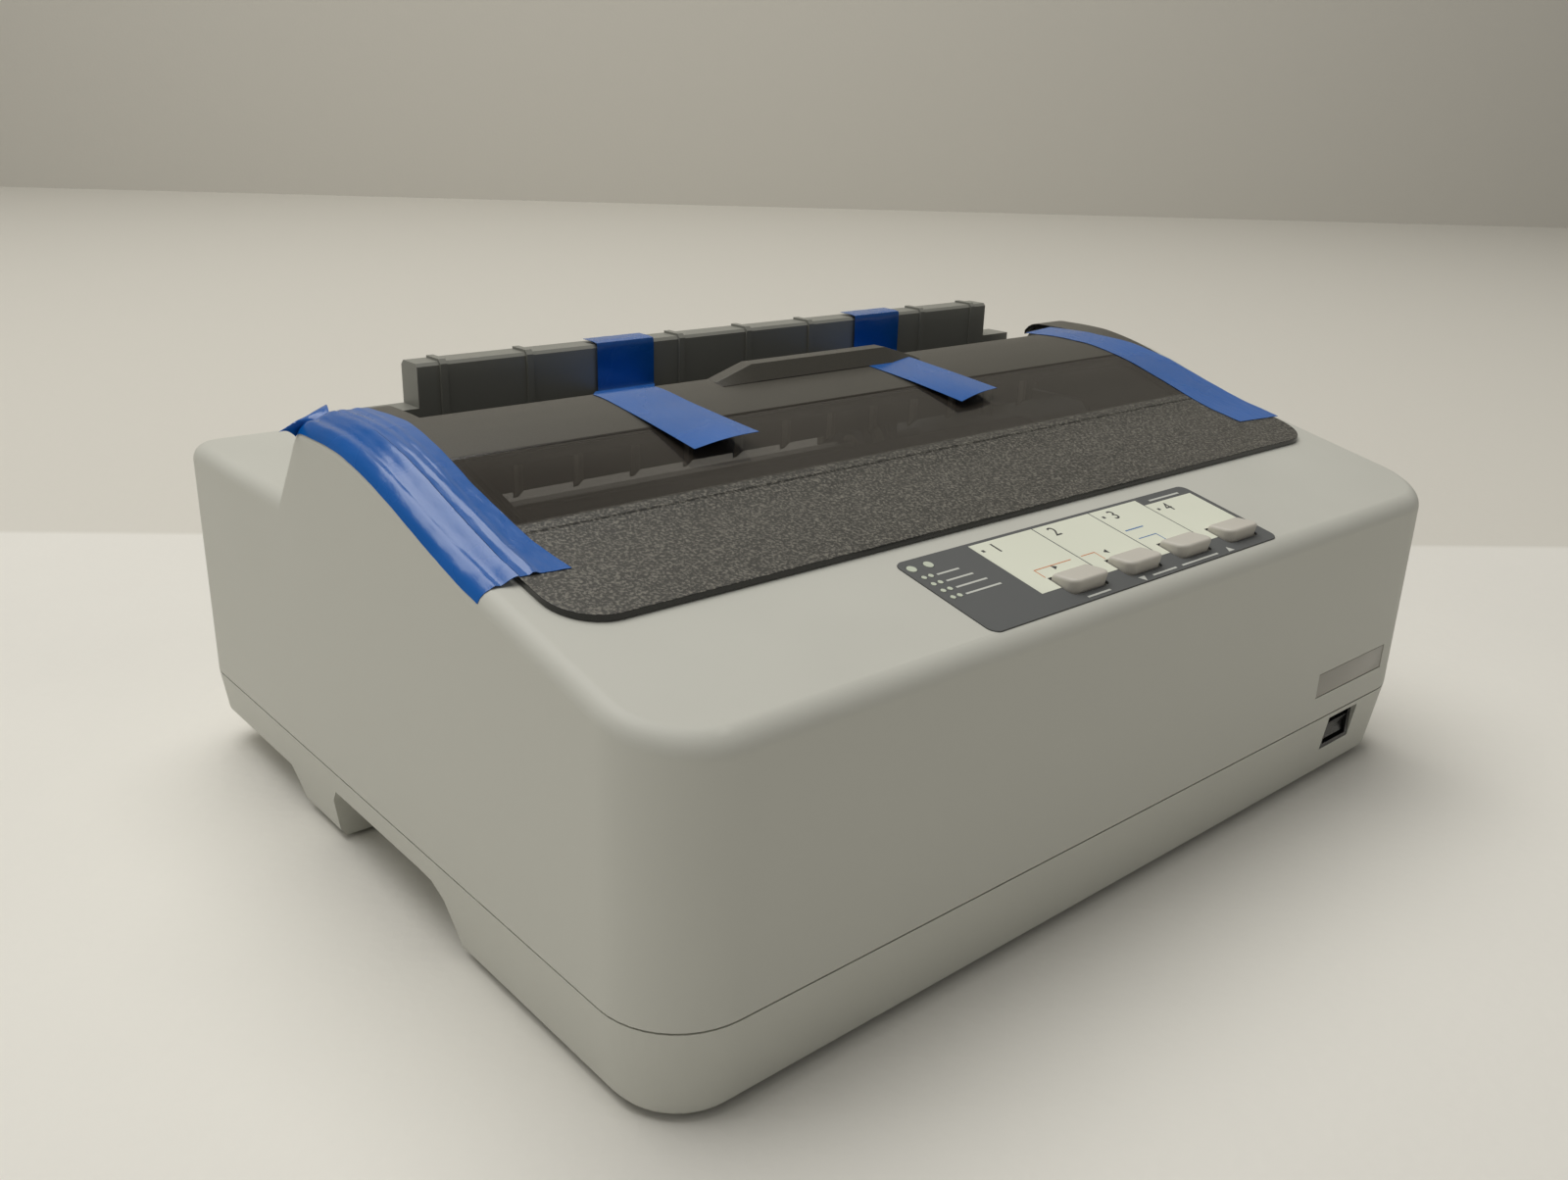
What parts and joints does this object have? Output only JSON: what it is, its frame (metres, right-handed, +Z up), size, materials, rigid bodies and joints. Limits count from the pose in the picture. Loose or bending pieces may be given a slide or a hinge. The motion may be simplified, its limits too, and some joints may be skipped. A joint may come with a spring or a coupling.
{
  "type": "dot matrix printer",
  "caption": "Desktop dot matrix printer with a smoked hinged cover, sloping control panel, paper exit bar, rear sheet guide and tractor feed.",
  "frame": {"origin": "centre of the whole bounding box in plan, with the knob, at the foot of the rubber feet", "axes": "+X to the right across the printer (longest), +Y to the rear, +Z up (shortest)"},
  "size_m": [0.362, 0.275, 0.1474],
  "materials": {
    "case_plastic": "fine moulded texture, light warm grey",
    "smoked_plastic": "smoked translucent moulding, grained front zone",
    "charcoal_plastic": "satin charcoal moulding",
    "panel_film": "printed label film",
    "button_plastic": "moulded key caps",
    "lamp_lens": "frosted lamp lenses",
    "green_board": "solder mask green board with parts",
    "black_plastic": "glossy black switch and socket moulding",
    "foot_rubber": "soft rubber",
    "screw_steel": "zinc plated",
    "sheet_steel": "galvanised sheet",
    "platen_rubber": "ground rubber",
    "shaft_steel": "ground shaft",
    "gear_plastic": "natural acetal",
    "knob_plastic": "ribbed knob",
    "motor_metal": "motor cans",
    "brass_pinion": "brass",
    "carriage_plastic": "glass filled moulding",
    "head_metal": "cast aluminium fins",
    "belt_rubber": "toothed belt",
    "ribbon_fabric": "inked nylon",
    "lever_plastic": "lever moulding",
    "guide_plastic": "light ribbed moulding",
    "tractor_plastic": "tractor moulding"
  },
  "bodies": {
    "case": {"lower_case": "case_plastic", "upper_case": "case_plastic", "exit_bar": "charcoal_plastic", "panel_plate": "panel_film", "panel_lamps": "lamp_lens", "panel_board": "green_board", "power_switch_frame": "black_plastic", "rubber_feet": "foot_rubber", "case_screws": "screw_steel", "base_frame": "sheet_steel", "left_side_frame": "sheet_steel", "right_side_frame": "sheet_steel", "platen_bushes": "gear_plastic", "feed_motor": "motor_metal", "carriage_shaft": "shaft_steel", "carriage_belt": "belt_rubber", "carriage_motor": "motor_metal", "ribbon_cartridge": "black_plastic", "ribbon_band": "ribbon_fabric", "paper_pan": "charcoal_plastic", "eject_guide": "guide_plastic", "tractor_support_shaft": "shaft_steel", "main_board": "green_board", "power_unit": "green_board", "interface_ports": "black_plastic", "power_inlet": "black_plastic"},
    "cover": {"printer_cover": "smoked_plastic"},
    "guide": {"sheet_guide": "charcoal_plastic"},
    "edge_guide_left": {"edge_guide_left": "charcoal_plastic"},
    "edge_guide_right": {"edge_guide_right": "charcoal_plastic"},
    "button_1": {"button_1": "button_plastic"},
    "button_2": {"button_2": "button_plastic"},
    "button_3": {"button_3": "button_plastic"},
    "button_4": {"button_4": "button_plastic"},
    "rocker": {"power_rocker": "black_plastic"},
    "platen": {"platen_roller": "platen_rubber", "platen_shaft": "shaft_steel", "platen_gear": "gear_plastic", "platen_knob": "knob_plastic"},
    "feed_pinion": {"feed_pinion": "brass_pinion"},
    "feed_idler": {"feed_idler_gear": "gear_plastic"},
    "tractor_drive": {"tractor_drive_shaft": "shaft_steel", "tractor_gear": "gear_plastic"},
    "pinch": {"pinch_rollers": "platen_rubber"},
    "left_tractor": {"left_tractor": "tractor_plastic"},
    "right_tractor": {"right_tractor": "tractor_plastic"},
    "left_wheel": {"left_pin_wheel": "gear_plastic"},
    "right_wheel": {"right_pin_wheel": "gear_plastic"},
    "left_flap": {"left_tractor_flap": "tractor_plastic"},
    "right_flap": {"right_tractor_flap": "tractor_plastic"},
    "left_lock": {"left_tractor_lock": "guide_plastic"},
    "right_lock": {"right_tractor_lock": "guide_plastic"},
    "carriage": {"carriage": "carriage_plastic", "print_head": "head_metal", "ribbon_mask": "screw_steel"},
    "drive_pulley": {"drive_pulley": "gear_plastic"},
    "idler_pulley": {"idler_pulley": "gear_plastic"},
    "ribbon_knob": {"ribbon_knob": "lever_plastic"},
    "head_gap_lever": {"head_gap_lever": "lever_plastic"},
    "paper_release_lever": {"paper_release_lever": "lever_plastic"}
  },
  "joints": [
    {"name": "cover_hinge", "type": "hinge", "parent": "case", "child": "cover", "pos_m": [-0.007, -0.09, 0.11114], "axis": [1, 0, 0], "range_deg": [0, 80]},
    {"name": "guide_tilt", "type": "hinge", "parent": "case", "child": "guide", "pos_m": [-0.007, 0.0635, 0.1275], "axis": [1, 0, 0], "range_deg": [0, 60]},
    {"name": "left_edge_slide", "type": "slide", "parent": "guide", "child": "edge_guide_left", "axis": [1, 0, 0], "range_m": [-0.025, 0.05]},
    {"name": "right_edge_slide", "type": "slide", "parent": "guide", "child": "edge_guide_right", "axis": [-1, 0, 0], "range_m": [-0.025, 0.05]},
    {"name": "button_1_press", "type": "slide", "parent": "case", "child": "button_1", "axis": [0, 0.2147, -0.9767], "range_m": [0, 0.0012], "stiffness_N_per_m": 400, "springref_m": -0.001},
    {"name": "button_2_press", "type": "slide", "parent": "case", "child": "button_2", "axis": [0, 0.2147, -0.9767], "range_m": [0, 0.0012], "stiffness_N_per_m": 400, "springref_m": -0.001},
    {"name": "button_3_press", "type": "slide", "parent": "case", "child": "button_3", "axis": [0, 0.2147, -0.9767], "range_m": [0, 0.0012], "stiffness_N_per_m": 400, "springref_m": -0.001},
    {"name": "button_4_press", "type": "slide", "parent": "case", "child": "button_4", "axis": [0, 0.2147, -0.9767], "range_m": [0, 0.0012], "stiffness_N_per_m": 400, "springref_m": -0.001},
    {"name": "rocker_tilt", "type": "hinge", "parent": "case", "child": "rocker", "pos_m": [0.1205, -0.1282, 0.0196], "axis": [1, 0, 0], "range_deg": [-14, 0]},
    {"name": "platen_spin", "type": "hinge", "parent": "case", "child": "platen", "pos_m": [-0.007, 0.02, 0.09], "axis": [1, 0, 0], "continuous": true},
    {"name": "pinion_spin", "type": "hinge", "parent": "case", "child": "feed_pinion", "pos_m": [-0.157, 0.06173, 0.05343], "axis": [1, 0, 0], "continuous": true},
    {"name": "idler_spin", "type": "hinge", "parent": "case", "child": "feed_idler", "pos_m": [-0.157, 0.05538, 0.07712], "axis": [1, 0, 0], "continuous": true},
    {"name": "tractor_spin", "type": "hinge", "parent": "case", "child": "tractor_drive", "pos_m": [-0.007, 0.09174, 0.0789], "axis": [1, 0, 0], "continuous": true},
    {"name": "pinch_spin", "type": "hinge", "parent": "case", "child": "pinch", "pos_m": [-0.007, 0.02915, 0.07415], "axis": [1, 0, 0], "continuous": true},
    {"name": "left_tractor_slide", "type": "slide", "parent": "case", "child": "left_tractor", "axis": [1, 0, 0], "range_m": [0, 0.07]},
    {"name": "right_tractor_slide", "type": "slide", "parent": "case", "child": "right_tractor", "axis": [-1, 0, 0], "range_m": [0, 0.07]},
    {"name": "left_wheel_spin", "type": "hinge", "parent": "left_tractor", "child": "left_wheel", "pos_m": [-0.113, 0.09174, 0.0789], "axis": [1, 0, 0], "continuous": true},
    {"name": "left_flap_hinge", "type": "hinge", "parent": "left_tractor", "child": "left_flap", "pos_m": [-0.1235, 0.09174, 0.0904], "axis": [0, -1, 0], "range_deg": [0, 110]},
    {"name": "left_lock_turn", "type": "hinge", "parent": "left_tractor", "child": "left_lock", "pos_m": [-0.104, 0.10874, 0.0709], "axis": [1, 0, 0], "range_deg": [0, 50]},
    {"name": "right_wheel_spin", "type": "hinge", "parent": "right_tractor", "child": "right_wheel", "pos_m": [0.099, 0.09174, 0.0789], "axis": [1, 0, 0], "continuous": true},
    {"name": "right_flap_hinge", "type": "hinge", "parent": "right_tractor", "child": "right_flap", "pos_m": [0.1095, 0.09174, 0.0904], "axis": [0, 1, 0], "range_deg": [0, 110]},
    {"name": "right_lock_turn", "type": "hinge", "parent": "right_tractor", "child": "right_lock", "pos_m": [0.09, 0.10874, 0.0709], "axis": [1, 0, 0], "range_deg": [0, 50]},
    {"name": "carriage_slide", "type": "slide", "parent": "case", "child": "carriage", "axis": [1, 0, 0], "range_m": [0, 0.196]},
    {"name": "drive_pulley_spin", "type": "hinge", "parent": "case", "child": "drive_pulley", "pos_m": [0.111, -0.056, 0.06], "axis": [0, 0, 1], "range_deg": [-1480, 0]},
    {"name": "idler_pulley_spin", "type": "hinge", "parent": "case", "child": "idler_pulley", "pos_m": [-0.125, -0.056, 0.06], "axis": [0, 0, 1], "range_deg": [-1480, 0]},
    {"name": "ribbon_knob_turn", "type": "hinge", "parent": "case", "child": "ribbon_knob", "pos_m": [-0.103, -0.064, 0.1], "axis": [0, 0, 1], "continuous": true},
    {"name": "head_gap_turn", "type": "hinge", "parent": "case", "child": "head_gap_lever", "pos_m": [0.1395, -0.034, 0.072], "axis": [1, 0, 0], "range_deg": [-8, 20]},
    {"name": "paper_release_turn", "type": "hinge", "parent": "case", "child": "paper_release_lever", "pos_m": [0.1395, 0.038, 0.076], "axis": [1, 0, 0], "range_deg": [0, 18]}
  ],
  "couplings": [
    {"joint": "idler_spin", "follows": "platen_spin", "ratio": -1.5},
    {"joint": "pinion_spin", "follows": "platen_spin", "ratio": 2.4},
    {"joint": "tractor_spin", "follows": "platen_spin", "ratio": 1.0588},
    {"joint": "left_wheel_spin", "follows": "platen_spin", "ratio": 1.0588},
    {"joint": "right_wheel_spin", "follows": "platen_spin", "ratio": 1.0588},
    {"joint": "pinch_spin", "follows": "platen_spin", "ratio": -2.6},
    {"joint": "drive_pulley_spin", "follows": "carriage_slide", "rad_per_m": -131.58},
    {"joint": "idler_pulley_spin", "follows": "carriage_slide", "rad_per_m": -131.58}
  ]
}
